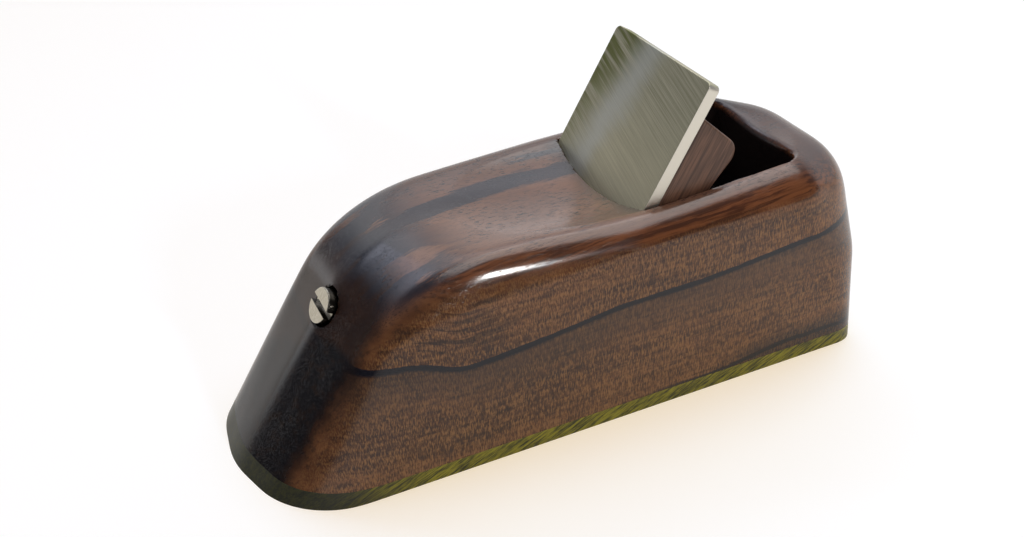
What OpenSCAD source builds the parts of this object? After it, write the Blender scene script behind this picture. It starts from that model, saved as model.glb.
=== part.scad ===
// Wooden block plane: a laminated stock with a green hardwood sole, an iron
// that leans over an open throat, a tapered wedge on a hidden cross pin, and
// a slotted lock screw that enters the nose and bears on the iron.
// The frame: origin under the middle of the sole, +X from the nose to the
// throat end, +Z up. Every length is in millimetres.

/* [Stock] */
// Length of the stock from the nose tip to the throat end
body_len = 156; // [148:1:175]
// Width of the stock
body_w = 53.6; // [52:0.2:62]
// Height of the stock from the sole face to its highest place, beside the throat
body_h = 52; // [50:0.2:57]
// Thickness of the sole
sole_t = 3.7; // [2.5:0.1:4.4]
// Plan radius of the two nose corners
nose_r = 19.5; // [14:0.5:23]
// How far the middle of the nose stands in front of its corners
nose_bulge = 1.4; // [0.4:0.1:3]
// Distance from the nose tip to the top of the nose curve
shoulder_x = 58.6; // [52:0.2:66]
// Half length of the nose curve in the middle
crown_len = 35.6; // [30:0.2:40]
// Depth of the nose curve in the middle
crown_h = 24.4; // [20:0.2:28]
// Half width of the nose curve's middle former
crown_side = 11.4; // [9:0.2:16]
// How far the nose curve's middle ends below the highest place
crown_drop = 1.6; // [0.5:0.1:3]
// Half length of the nose curve at the sides
shoulder_len = 36.8; // [30:0.2:42]
// Depth of the nose curve at the sides
shoulder_h = 28.8; // [20:0.2:34]
// Side rounding of the nose curve
shoulder_side = 8.6; // [6:0.2:14]
// How far the nose curve's sides end below the highest place
shoulder_drop = 2.5; // [1:0.1:4]
// Rounding of the long top edges beside the iron
edge_r = 6.6; // [5:0.2:10]
// Distance from the nose tip to where that rounding is least
edge_x = 87; // [75:1:100]
// How far those edges lie below the highest place
edge_drop = 2.8; // [1:0.1:4]
// Rounding of the top edges beside the throat, at the highest place
crest_r = 10; // [7:0.2:13]
// Distance from the nose tip to the highest place
crest_x = 133; // [120:1:140]

/* [Throat end of the stock] */
// Plan radius of the top corners at the throat end
end_top_r = 20.4; // [17:0.2:23]
// Rounding of the top edge at the throat end
end_edge_r = 14.8; // [10:0.2:16.4]
// How far that edge lies below the highest place
end_drop = 0.8; // [0:0.1:2]
// How far the end face tucks in at the top
end_tuck = 0.7; // [0.3:0.1:2]
// Plan radius of the end corners at their fullest height
end_mid_r = 13.2; // [10:0.2:16]
// Height at which the end face is fullest
end_mid_z = 24; // [16:0.1:28]
// Plan radius of the end corners at the sole
end_foot_r = 6; // [4:0.5:10]
// How far the end face tucks in at the sole
foot_tuck = 1.5; // [0.5:0.1:3]

/* [Top hollow] */
// Radius of the hollow across the stock
hollow_r = 60; // [48:1:90]
// Depth of the hollow's lowest place below the highest place
hollow_depth = 5.8; // [4:0.1:6.6]
// Distance from the nose tip to the deepest place
hollow_x = 88; // [80:1:96]
// Radius of the hollow along the stock
hollow_sweep_r = 300; // [240:10:420]

/* [Throat] */
// Pitch of the iron above the sole, in degrees
pitch = 60; // [56:1:63]
// Distance from the nose tip to the bed line at the sole face
mouth_x = 64.4; // [61:0.2:68]
// Gap between the iron and each cheek
side_gap = 0.3; // [0.15:0.05:0.5]
// Opening of the mouth in front of the cutting edge
mouth_gap = 0.8; // [0.5:0.1:1.5]
// Slope of the mouth's front wall, in degrees
mouth_relief = 45; // [38:1:56]
// Slope of the throat floor, in degrees
floor_pitch = 20; // [12:1:23]
// Height of the floor's front lip above the sole
floor_lip = 1; // [0.6:0.1:2]
// Length of wood between the throat and the end of the stock
end_wall = 19.6; // [17:0.2:26]
// Plan radius of the throat's two end corners
throat_corner_r = 6; // [2:0.5:7]
// Rounding of the rim over the end wall
rim_r = 4; // [2:0.5:6]

/* [Iron] */
// Width of the iron
iron_w = 38; // [36:0.5:40]
// Thickness of the iron
iron_t = 3.2; // [2.6:0.1:4]
// Length of the iron from its cutting edge
iron_len = 85.7; // [80:0.5:100]
// Radius of the iron's two top corners
iron_corner_r = 1.4; // [0.8:0.2:5]
// Angle of the cutting bevel, in degrees
edge_angle = 45; // [35:1:60]
// Height of the cutting edge above the sole face at rest
edge_lift = 0.3; // [0.2:0.05:0.5]

/* [Wedge] */
// Length of the wedge along the iron
wedge_len = 62.4; // [56:0.2:66]
// Thickness of the wedge at its tip
wedge_tip = 1.7; // [1.2:0.1:2.6]
// Taper of the wedge, in degrees
wedge_taper = 12; // [9:0.5:13]
// Gap between the wedge and each cheek
wedge_side_gap = 0.5; // [0.3:0.05:0.8]
// Distance from the top of the iron down to the top of the wedge
wedge_drop = 7.5; // [5:0.5:12]
// Rounding of the wedge's upper back edge
wedge_corner_r = 3.9; // [2:0.1:5]
// Chamfer along the wedge's side arrises
wedge_chamfer = 0.5; // [0.3:0.1:0.8]

/* [Cross pin] */
// Diameter of the cross pin
pin_d = 8; // [6:0.5:10]
// Depth of each pin end in its cheek
pin_seat = 4.5; // [3:0.5:5]
// Distance from the wedge tip up its back to the pin
pin_up = 24; // [18:1:30]

/* [Lock screw] */
// Distance from the nose tip to the middle of the screw's end face
screw_x = 22.6; // [20:0.2:25]
// Height of that point above the sole face
screw_z = 34.9; // [33.5:0.1:36]
// Thread diameter
screw_d = 5; // [4:0.5:5]
// Head diameter
head_d = 8.1; // [7.6:0.1:9]
// Head height
head_h = 3.5; // [2.8:0.1:4.5]
// Chamfer round the head
head_chamfer = 0.3; // [0.1:0.1:0.5]
// Width of the driver slot
slot_w = 1.65; // [1:0.05:2]
// Depth of the driver slot
slot_depth = 1.5; // [1:0.1:2]
// Turn of the driver slot from level, in degrees
slot_turn = 6; // [0:1:90]
// Gap round the head in its counterbore
head_gap = 0.5; // [0.3:0.1:0.8]
// Gap below the head when the screw is tight
head_room = 0.8; // [0.5:0.1:2]
// Outer diameter of the threaded bush
bush_d = 8; // [7:0.5:9]
// Length of the threaded bush
bush_len = 12; // [8:0.5:16]
// Diameter of the pressure pad
pad_d = 6.5; // [6:0.1:6.8]
// Length of the pressure pad
pad_len = 4; // [3.5:0.5:8]
// Depth of the cup in the pad that takes the screw tip
pad_cup = 1.5; // [1:0.1:2.5]
// Length of the pad's hole behind the pad, into which the pad can be drawn back
pad_room = 6; // [3:0.5:10]
// Gap round the free part of the screw in its drilled hole
shank_gap = 0.5; // [0.3:0.1:0.8]

/* [Fits] */
// Gap between faces or round pieces that slide on each other
slide_gap = 0.05; // [0.03:0.01:0.08]
// Gap round a piece that is glued or pressed into its seat
seat_gap = 0.02; // [0.01:0.01:0.04]
// Gap past the end of a piece in a blind hole
end_gap = 0.1; // [0.05:0.05:0.3]

/* [Hidden] */
$fn = 64;
// Facets round the blended outer form
form_fn = 40;
// Spare length of a cutting solid past the surface that it cuts
over = 1;
// Thickness of the thin slices that shape the outer form at the sole
slice = 0.01;
wood = [0.26, 0.14, 0.09];
wood_light = [0.38, 0.22, 0.14];
green = [0.38, 0.42, 0.12];
steel = [0.62, 0.62, 0.56];
brass = [0.78, 0.62, 0.30];

// Ends of the stock and half of its width
nose = -body_len / 2;
tail = body_len / 2;
half_w = body_w / 2;
throat_w = iron_w + 2 * side_gap;
half_throat = throat_w / 2;
end_x = tail - end_wall;

// Points in the iron's own frame: s runs up the bed line, n runs from the
// bed towards the throat
function at(s, n) = [nose + mouth_x + s * cos(pitch) + n * sin(pitch),
                     s * sin(pitch) - n * cos(pitch)];
// Place along the bed line at a height z, for a face at distance n
function up_to(z, n) = (z + n * cos(pitch)) / sin(pitch);

// Iron and wedge, measured up the bed line
edge_s = up_to(edge_lift, iron_t);
iron_top = edge_s + iron_len;
bevel = iron_t / tan(edge_angle);
wedge_top = iron_top - wedge_drop;
wedge_low = wedge_top - wedge_len;
wedge_face = iron_t + slide_gap;
wedge_w = throat_w - 2 * wedge_side_gap;
wedge_root = [wedge_low, -wedge_face - wedge_tip];
wedge_back = [cos(wedge_taper), -sin(wedge_taper)];
wedge_span = (wedge_top - wedge_low) * cos(wedge_taper) - wedge_tip * sin(wedge_taper);

// Middle of the cross pin, in the iron's frame
pin_r = pin_d / 2;
pin_off = pin_r + slide_gap;
pin_s = wedge_root[0] + pin_up * wedge_back[0] - pin_off * sin(wedge_taper);
pin_n = -(wedge_root[1] + pin_up * wedge_back[1] - pin_off * cos(wedge_taper));
pin_at = at(pin_s, pin_n);

// Mouth: its front wall starts ahead of the cutting edge
mouth_front = at(edge_s, iron_t)[0] - edge_lift / tan(mouth_relief) + mouth_gap;
function front_wall(z) = mouth_front + z / tan(mouth_relief);
floor_x = front_wall(sole_t);
floor_z = sole_t + floor_lip;
floor_end_z = floor_z + (end_x - floor_x) * tan(floor_pitch);

// Lock screw: stations along its axis, from the end face inwards
screw_tilt = 90 - pitch;
axis_len = (mouth_x - screw_x) * sin(pitch) + screw_z * cos(pitch);
bore_end = head_h + head_room;
pad_start = axis_len - slide_gap - pad_len;
tip_at = pad_start + pad_cup - slide_gap;
cup_d = screw_d + 2 * slide_gap;

// A profile drawn in X and Z, extruded across the stock
module across(w) {
    rotate([90, 0, 0]) linear_extrude(w, center = true) children();
}

// The iron's frame: local X up the bed line, local -Z towards the throat
module on_bed() {
    translate([nose + mouth_x, 0, 0]) rotate([0, -pitch, 0]) children();
}

// The screw's frame: local +Z runs inwards along the axis
module on_screw() {
    translate([nose + screw_x, 0, screw_z]) rotate([0, 90 + screw_tilt, 0]) children();
}

module both_sides(y) {
    for (side = [-1, 1]) translate([0, side * y, 0]) children();
}

// What a round arris removes from a square corner at the origin
module corner_waste(r) {
    difference() {
        translate([-over, -over]) square(r + over);
        translate([r, r]) circle(r);
    }
}

// A disc of radius r whose edge is rounded to radius e
module round_edged_disc(r, e) {
    rotate_extrude($fn = form_fn) intersection() {
        translate([r - e, 0]) circle(e, $fn = form_fn);
        translate([0, -e]) square([r, 2 * e]);
    }
}

// A domed former of the nose curve, its top the given drop below the highest place
module nose_former(x, drop, size) {
    translate([nose + x, 0, body_h - drop - size[2]]) scale(size) intersection() {
        sphere(1, $fn = form_fn);
        translate([-1, -1, 0]) cube(2);
    }
}

// A pair of balls that round the long top edges
module edge_formers(x, drop, r) {
    both_sides(half_w - r) translate([nose + x, 0, body_h - drop - r]) sphere(r, $fn = form_fn);
}

// Outer form of the whole stock, before the hollow and the throat are cut
module stock_form() {
    hull() {
        translate([nose + half_w, 0, 0]) cylinder(h = slice, r = half_w, $fn = 2 * form_fn);
        both_sides(half_w - nose_r)
            translate([nose + nose_bulge + nose_r, 0, 0])
                cylinder(h = slice, r = nose_r, $fn = 2 * form_fn);
        nose_former(shoulder_x - nose_bulge, crown_drop, [crown_len, crown_side, crown_h]);
        both_sides(half_w - shoulder_side)
            nose_former(shoulder_x, shoulder_drop, [shoulder_len, shoulder_side, shoulder_h]);
        edge_formers(edge_x, edge_drop, edge_r);
        edge_formers(crest_x, 0, crest_r);
        both_sides(half_w - end_top_r)
            translate([tail - end_tuck - end_top_r, 0, body_h - end_drop - end_edge_r])
                round_edged_disc(end_top_r, end_edge_r);
        both_sides(half_w - end_mid_r)
            translate([tail - end_mid_r, 0, end_mid_z])
                cylinder(h = slice, r = end_mid_r, $fn = form_fn);
        both_sides(half_w - end_foot_r)
            translate([tail - foot_tuck - end_foot_r, 0, 0])
                cylinder(h = slice, r = end_foot_r, $fn = form_fn);
    }
}

// The hollow in the top: an arc along the stock, turned about a level axis
module top_hollow() {
    sag_x = sqrt(pow(hollow_sweep_r, 2) - pow(hollow_sweep_r - hollow_r, 2));
    translate([nose + hollow_x, 0, body_h + hollow_r - hollow_depth])
        rotate([0, 90, 0]) rotate_extrude() intersection() {
            translate([hollow_r - hollow_sweep_r, 0]) circle(hollow_sweep_r);
            translate([0, -sag_x]) square([hollow_r, 2 * sag_x]);
        }
}

// Wood of the stock above the sole, inside a profile of the given width
module stock_slab(w) {
    difference() {
        intersection() {
            stock_form();
            across(w) children();
        }
        top_hollow();
    }
}

module sole() {
    color(green) difference() {
        intersection() {
            stock_form();
            translate([nose - over, -half_w - over, -over])
                cube([body_len + 2 * over, body_w + 2 * over, sole_t + over]);
        }
        across(throat_w) polygon([at(up_to(-over, -slide_gap), -slide_gap),
                                  at(up_to(sole_t + over, -slide_gap), -slide_gap),
                                  [front_wall(sole_t + over), sole_t + over],
                                  [front_wall(-over), -over]]);
    }
}

module bed_block() {
    top = body_h + over;
    color(wood) difference() {
        stock_slab(throat_w) polygon([[nose - over, sole_t],
                                      at(up_to(sole_t, -slide_gap), -slide_gap),
                                      at(up_to(top, -slide_gap), -slide_gap),
                                      [nose - over, top]]);
        on_screw() {
            translate([0, 0, -over * 4])
                cylinder(h = bore_end + over * 4, d = head_d + 2 * head_gap);
            cylinder(h = bore_end + bush_len, d = bush_d + 2 * seat_gap);
            cylinder(h = axis_len, d = screw_d + 2 * shank_gap);
            translate([0, 0, pad_start - pad_room])
                cylinder(h = pad_room + pad_len + over, d = pad_d + 2 * slide_gap);
        }
    }
}

// Space of the throat: the floor slopes up to a steep end wall
module throat_space() {
    intersection() {
        across(body_w) polygon([[floor_x - over, floor_z - over * tan(floor_pitch)],
                                [end_x + over, floor_end_z + over * tan(floor_pitch)],
                                [end_x + over, body_h + over],
                                [floor_x - over, body_h + over]]);
        linear_extrude(body_h + 2 * over) {
            translate([floor_x - over, -half_throat - over])
                square([end_x - throat_corner_r - floor_x + over, throat_w + 2 * over]);
            translate([end_x - throat_corner_r - over, -half_throat + throat_corner_r])
                square([throat_corner_r + over, throat_w - 2 * throat_corner_r]);
            both_sides(half_throat - throat_corner_r)
                translate([end_x - throat_corner_r, 0]) circle(throat_corner_r);
        }
    }
}

module throat_block() {
    color(wood) difference() {
        stock_slab(throat_w) polygon([[floor_x, sole_t], [tail + over, sole_t],
                                      [tail + over, body_h + over], [floor_x, body_h + over]]);
        throat_space();
        across(body_w) translate([end_x, body_h]) mirror([0, 1]) corner_waste(rim_r);
    }
}

// One side of the stock; side is -1 for the near cheek and 1 for the far one
module cheek(side) {
    color(wood) difference() {
        intersection() {
            stock_form();
            translate([nose - over, side > 0 ? half_throat : -half_w - over, sole_t])
                cube([body_len + 2 * over, half_w - half_throat + over, body_h]);
        }
        top_hollow();
        translate([pin_at[0], 0, pin_at[1]]) rotate([90, 0, 0])
            cylinder(h = throat_w + 2 * (pin_seat + end_gap), r = pin_r + seat_gap, center = true);
    }
}

module near_cheek() {
    cheek(-1);
}

module far_cheek() {
    cheek(1);
}

module iron() {
    color(steel) on_bed() intersection() {
        translate([0, 0, -iron_t]) linear_extrude(iron_t) difference() {
            translate([edge_s, -iron_w / 2]) square([iron_len, iron_w]);
            for (side = [-1, 1])
                translate([iron_top, side * iron_w / 2]) mirror([1, 0])
                    mirror([0, side > 0 ? 1 : 0]) corner_waste(iron_corner_r);
        }
        across(iron_w + over) polygon([[edge_s, -iron_t], [edge_s + bevel, 0],
                                       [iron_top, 0], [iron_top, -iron_t]]);
    }
}

// Side profile of the wedge, drawn in from its back and its top by the inset.
// Its top is cut square to its sloping back
module wedge_profile(inset) {
    inward = [-wedge_back[1], wedge_back[0]];
    root = wedge_root + inset * inward;
    corner = wedge_root + (wedge_span - inset) * wedge_back + inset * inward;
    front = [wedge_top - inset / cos(wedge_taper), -wedge_face];
    difference() {
        polygon([[wedge_low, -wedge_face], front, corner, root]);
        translate(corner) rotate(90 - wedge_taper) corner_waste(wedge_corner_r - inset);
    }
}

module wedge() {
    color(wood_light) on_bed() hull() {
        across(wedge_w - 2 * wedge_chamfer) wedge_profile(0);
        across(wedge_w) wedge_profile(wedge_chamfer);
    }
}

module cross_pin() {
    color(wood_light) translate([pin_at[0], 0, pin_at[1]]) rotate([90, 0, 0])
        cylinder(h = throat_w + 2 * pin_seat, r = pin_r, center = true);
}

module lock_screw() {
    color(steel) on_screw() {
        difference() {
            union() {
                cylinder(h = head_chamfer, d1 = head_d - 2 * head_chamfer, d2 = head_d);
                translate([0, 0, head_chamfer]) cylinder(h = head_h - head_chamfer, d = head_d);
                cylinder(h = tip_at, d = screw_d);
            }
            rotate(-slot_turn) translate([-slot_w / 2, -head_d, -over])
                cube([slot_w, 2 * head_d, slot_depth + over]);
        }
    }
}

module screw_bush() {
    color(brass) on_screw() translate([0, 0, bore_end]) difference() {
        cylinder(h = bush_len, d = bush_d);
        translate([0, 0, -over]) cylinder(h = bush_len + 2 * over, d = screw_d + 2 * slide_gap);
    }
}

module pressure_pad() {
    color(brass) on_screw() translate([0, 0, pad_start]) difference() {
        cylinder(h = pad_len, d = pad_d);
        translate([0, 0, -over]) cylinder(h = pad_cup + over, d = cup_d);
    }
}

sole();
bed_block();
throat_block();
near_cheek();
far_cheek();
iron();
wedge();
cross_pin();
lock_screw();
screw_bush();
pressure_pad();
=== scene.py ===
"""The looks of a small wooden block plane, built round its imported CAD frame.

The stock is one smooth shaped form, sampled on a grid and cut into the same blocks, cheeks and sole
as the CAD. Iron, wedge and turned pieces are built as meshes. All shapes are worked out in
millimetres in the frame's axes and stored in metres.
"""

import math

import bmesh
import bpy
import numpy as np
from mathutils import Matrix, Vector


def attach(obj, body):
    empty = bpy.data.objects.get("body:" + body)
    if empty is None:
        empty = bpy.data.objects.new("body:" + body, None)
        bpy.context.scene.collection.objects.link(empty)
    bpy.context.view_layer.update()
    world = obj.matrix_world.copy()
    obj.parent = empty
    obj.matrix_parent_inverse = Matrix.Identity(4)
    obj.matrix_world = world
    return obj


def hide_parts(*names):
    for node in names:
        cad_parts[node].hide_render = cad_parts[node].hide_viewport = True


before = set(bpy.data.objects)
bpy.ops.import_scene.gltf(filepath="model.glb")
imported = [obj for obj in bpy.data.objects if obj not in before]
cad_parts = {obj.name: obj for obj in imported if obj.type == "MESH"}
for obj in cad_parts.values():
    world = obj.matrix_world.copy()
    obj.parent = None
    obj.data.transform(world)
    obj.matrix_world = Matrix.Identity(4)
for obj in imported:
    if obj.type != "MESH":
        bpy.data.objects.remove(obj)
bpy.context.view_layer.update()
MM = 0.001

# Stock, with the sizes of the part's source
LENGTH, WIDTH, HEIGHT = 156.0, 53.6, 52.0
SOLE_T = 3.7
NOSE, TAIL, HALF_W = -LENGTH / 2, LENGTH / 2, WIDTH / 2
NOSE_R, NOSE_FOOT_X = 19.5, NOSE + 20.9
# Rounded forms of the top: place, drop below the highest place, and half lengths
CROWN_X, CROWN_DROP, CROWN_HALF = NOSE + 57.2, 1.6, (35.6, 11.4, 24.4)
SHOULDER_X, SHOULDER_DROP, SHOULDER_HALF = NOSE + 58.6, 2.5, (36.8, 8.6, 28.8)
EDGE_X, EDGE_DROP, EDGE_R = NOSE + 87, 2.8, 6.6
CREST_X, CREST_R = NOSE + 133, 10
END_TOP_X, END_TOP_R, END_DROP, END_RIM_R = TAIL - 21.1, 20.4, 0.8, 14.8
END_MID_X, END_MID_R, END_MID_Z = TAIL - 13.2, 13.2, 24
END_FOOT_X, END_FOOT_R = TAIL - 7.5, 6
# Palm hollow: a circle across, swept along a larger circle
HOLLOW_X, HOLLOW_R, HOLLOW_SWEEP_R, HOLLOW_DEPTH = 10.0, 60.0, 300.0, 5.8
# Rounding of the hollow's arris and what it gains at the nose, of the throat's and what it gains
# over the end wall, and of the screw hole's
HOLLOW_ARRIS, NOSE_GAIN, THROAT_ARRIS, END_GAIN, HOLE_ARRIS = 1.0, 3.2, 0.3, 1.5, 0.2
# Throat and mouth
PITCH = math.radians(60)
MOUTH_X, MOUTH_FRONT = -13.6, -9.23
HALF_THROAT = 19.3
END_X = 58.4
THROAT_CORNER = 6.0
FLOOR_X, FLOOR_Z, FLOOR_PITCH = -5.53, 4.7, math.radians(20)
PIN_X, PIN_Z, PIN_R, PIN_REACH = 18.75, 28.23, 4.0, 23.8
SLIDE_GAP, SEAT_GAP, END_GAP = 0.05, 0.02, 0.1
# Lock screw: the middle of its end face, and its axis pointing inwards
SCREW_AT = np.array([-55.4, 0.0, 34.9])
SCREW_AXIS = np.array([math.cos(math.radians(30)), 0.0, -math.sin(math.radians(30))])
ACROSS = (0, 1, 0)
# Stations and radii of the stepped hole along that axis
AXIS_LEN = 53.65
BORE_END, BUSH_END, PAD_START, PAD_ROOM = 4.3, 16.3, 49.6, 6.0
HEAD_HOLE_R, BUSH_HOLE_R, SHANK_HOLE_R, PAD_HOLE_R = 4.55, 4.02, 3.0, 3.3
# Iron, in its own frame: s runs up the bed, n runs from the bed to the throat
EDGE_S, IRON_LEN, IRON_T, IRON_W = 2.194, 85.7, 3.2, 38.0
WEDGE_TOP, WEDGE_LOW, WEDGE_TIP, WEDGE_W = 80.39, 17.99, 1.7, 37.6
WEDGE_TAPER, WEDGE_CORNER = math.radians(12), 3.9

# Grid steps of the finished surface and of the outer form, and how far that form is softened
FINE = 0.6
COARSE = 1.5
BLUR = 1.5


# Form of the stock

def ring(x, y, z, r, count=72):
    """Points of a level circle."""
    a = np.arange(count) * 2 * np.pi / count
    return np.stack([x + r * np.cos(a), y + r * np.sin(a), np.full(count, float(z))], 1)


def dome(x, y, drop, rx, ry, rz, count=48):
    """Points of the upper half of an ellipsoid whose top is a little below the highest place."""
    u = (np.arange(count) + 0.5) * 2 * np.pi / count
    v = np.linspace(0, np.pi / 2, count // 3)
    u, v = np.meshgrid(u, v)
    z = HEIGHT - drop - rz
    at = [x + rx * np.cos(u) * np.cos(v), y + ry * np.sin(u) * np.cos(v), z + rz * np.sin(v)]
    return np.stack(at, -1).reshape(-1, 3)


def round_disc(x, y, drop, r, edge, count=24):
    """Points of a disc whose upper rim is rounded."""
    turns = np.linspace(0, np.pi / 2, count // 2)
    z = HEIGHT - drop - edge
    rings = [ring(x, y, z + edge * np.sin(t), r - edge + edge * np.cos(t)) for t in turns]
    return np.concatenate(rings)


def stock_points():
    """Points whose hull is the stock's outer form, before it is smoothed."""
    out = [ring(NOSE + HALF_W, 0, 0, HALF_W), dome(CROWN_X, 0, CROWN_DROP, *CROWN_HALF)]
    for side in (-1, 1):
        out.append(ring(NOSE_FOOT_X, side * (HALF_W - NOSE_R), 0, NOSE_R))
        out.append(dome(SHOULDER_X, side * (HALF_W - SHOULDER_HALF[1]), SHOULDER_DROP,
                        *SHOULDER_HALF))
        out.append(dome(EDGE_X, side * (HALF_W - EDGE_R), EDGE_DROP, EDGE_R, EDGE_R, EDGE_R))
        out.append(dome(CREST_X, side * (HALF_W - CREST_R), 0, CREST_R, CREST_R, CREST_R))
        out.append(round_disc(END_TOP_X, side * (HALF_W - END_TOP_R), END_DROP, END_TOP_R,
                              END_RIM_R))
        out.append(ring(END_MID_X, side * (HALF_W - END_MID_R), END_MID_Z, END_MID_R))
        out.append(ring(END_FOOT_X, side * (HALF_W - END_FOOT_R), 0, END_FOOT_R))
    return np.concatenate(out)


def hull_planes(points):
    """Outward planes (n, d) of the points' convex hull, without the underside."""
    bm = bmesh.new()
    for p in points:
        bm.verts.new(p)
    bmesh.ops.convex_hull(bm, input=bm.verts, use_existing_faces=False)
    planes = []
    smallest, underside = 1e-5, -0.9
    for f in bm.faces:
        n = f.normal
        if f.calc_area() > smallest and n.z > underside:
            planes.append((n.x, n.y, n.z, n.dot(f.verts[0].co)))
    bm.free()
    planes = np.array(planes)
    return planes[np.unique(planes.round(3), axis=0, return_index=True)[1]]


def blur_matrix(count, sigma):
    """Gaussian weights between the points of one axis."""
    i = np.arange(count)
    m = np.exp(-0.5 * ((i[:, None] - i[None, :]) / sigma) ** 2)
    return m / m.sum(1, keepdims=True)


def along(matrix, values, axis):
    """The matrix applied along one axis of a grid."""
    return np.moveaxis(np.tensordot(matrix, values, (1, axis)), 0, axis)


class Form:
    """Signed distance to the smoothed outer form, kept on a coarse grid."""

    low = np.array([-87.0, -36.0, -12.0])
    high = np.array([87.0, 36.0, 63.0])

    def __init__(self):
        axes = [np.arange(a, b + COARSE / 2, COARSE) for a, b in zip(self.low, self.high)]
        grid = np.stack(np.meshgrid(*axes, indexing="ij"), -1)
        flat = grid.reshape(-1, 3)
        planes = hull_planes(stock_points())
        value = np.empty(len(flat))
        for i in range(0, len(flat), 8000):
            value[i:i + 8000] = (flat[i:i + 8000] @ planes[:, :3].T - planes[:, 3]).max(1)
        value = value.reshape(grid.shape[:3])
        once = self.blurred(value)
        self.value = 2 * once - self.blurred(once)

    @staticmethod
    def blurred(value):
        """The grid blurred along its three axes."""
        for axis in range(3):
            value = along(blur_matrix(value.shape[axis], BLUR / COARSE), value, axis)
        return value

    @staticmethod
    def weights(t):
        """Cubic spline weights and their slopes."""
        w = [(1 - t) ** 3 / 6, (3 * t ** 3 - 6 * t ** 2 + 4) / 6,
             (-3 * t ** 3 + 3 * t ** 2 + 3 * t + 1) / 6, t ** 3 / 6]
        d = [-(1 - t) ** 2 / 2, (3 * t ** 2 - 4 * t) / 2, (-3 * t ** 2 + 2 * t + 1) / 2, t ** 2 / 2]
        return w, d

    def on_axes(self, axes):
        """Values on a whole grid, given its three axes."""
        value = self.value
        for axis, at in enumerate(axes):
            u = (at - self.low[axis]) / COARSE
            i = np.floor(u).astype(int)
            w, _ = self.weights(u - i)
            m = np.zeros((len(at), value.shape[axis]))
            for k in range(4):
                m[np.arange(len(at)), i + k - 1] = w[k]
            value = along(m, value, axis)
        return value

    def at(self, p):
        """Value and slope at loose points."""
        u = (p - self.low) / COARSE
        i = np.floor(u).astype(int)
        w, d = self.weights(u - i)
        out, slope = np.zeros(len(p)), np.zeros((len(p), 3))
        for a in range(4):
            for b in range(4):
                for c in range(4):
                    v = self.value[i[:, 0] + a - 1, i[:, 1] + b - 1, i[:, 2] + c - 1]
                    wx, wy, wz = w[a][:, 0], w[b][:, 1], w[c][:, 2]
                    out += v * wx * wy * wz
                    slope[:, 0] += v * d[a][:, 0] * wy * wz
                    slope[:, 1] += v * wx * d[b][:, 1] * wz
                    slope[:, 2] += v * wx * wy * d[c][:, 2]
        return out, slope / COARSE


def smooth_step(x, a, b):
    """0 up to a, 1 from b, and a smooth rise between them."""
    t = np.clip((x - a) / (b - a), 0, 1)
    return t * t * (3 - 2 * t)


def cut(body, tool, r):
    """Body without the tool, with the arris between them rounded by about r."""
    a, b = body, -tool
    return np.minimum(-r, np.maximum(a, b)) + np.hypot(np.maximum(r + a, 0), np.maximum(r + b, 0))


def hollow(x, y, z):
    """The palm hollow: a circle across the stock that rises away from its deepest place."""
    sweep = HOLLOW_SWEEP_R
    reach = HOLLOW_R - sweep + np.sqrt(sweep ** 2 - (x - HOLLOW_X) ** 2)
    return np.hypot(y, z - (HEIGHT + HOLLOW_R - HOLLOW_DEPTH)) - reach


def throat(x, y, z):
    """The throat and the mouth, bounded by the bed, the cheeks, the floor and the end wall."""
    bed = -((x - MOUTH_X) * math.sin(PITCH) - z * math.cos(PITCH) + SLIDE_GAP)
    qx, qy = x - (END_X - THROAT_CORNER), np.abs(y) - (HALF_THROAT - THROAT_CORNER)
    plan = (np.hypot(np.maximum(qx, 0), np.maximum(qy, 0)) - THROAT_CORNER
            + np.minimum(np.maximum(qx, qy), 0))
    floor = (x - FLOOR_X) * math.sin(FLOOR_PITCH) - (z - FLOOR_Z) * math.cos(FLOOR_PITCH)
    lip = np.maximum(x - FLOOR_X, SOLE_T - z)
    upper = np.maximum(np.maximum(bed, plan), np.minimum(floor, lip))
    front = (x - MOUTH_FRONT - z) * math.sqrt(0.5)
    mouth = np.maximum(np.maximum(bed, np.abs(y) - HALF_THROAT), np.maximum(front, z - SOLE_T))
    return np.minimum(upper, mouth)


def screw_hole(x, y, z):
    """The stepped hole for the head, the bush, the shank and the pad."""
    dx, dz = x - SCREW_AT[0], z - SCREW_AT[2]
    t = dx * SCREW_AXIS[0] + dz * SCREW_AXIS[2]
    rho = np.hypot(dx * -SCREW_AXIS[2] + dz * SCREW_AXIS[0], y)
    steps = [np.maximum(rho - HEAD_HOLE_R, t - BORE_END),
             np.maximum(rho - BUSH_HOLE_R, t - BUSH_END),
             np.maximum(rho - SHANK_HOLE_R, t - AXIS_LEN - 1),
             np.maximum(np.maximum(rho - PAD_HOLE_R, PAD_START - PAD_ROOM - t), t - AXIS_LEN - 1)]
    return np.minimum.reduce(steps)


def pin_seats(x, y, z):
    """The blind holes in the cheeks for the cross pin."""
    return np.maximum(np.hypot(x - PIN_X, z - PIN_Z) - PIN_R - SEAT_GAP,
                      np.abs(y) - PIN_REACH - END_GAP)


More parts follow.
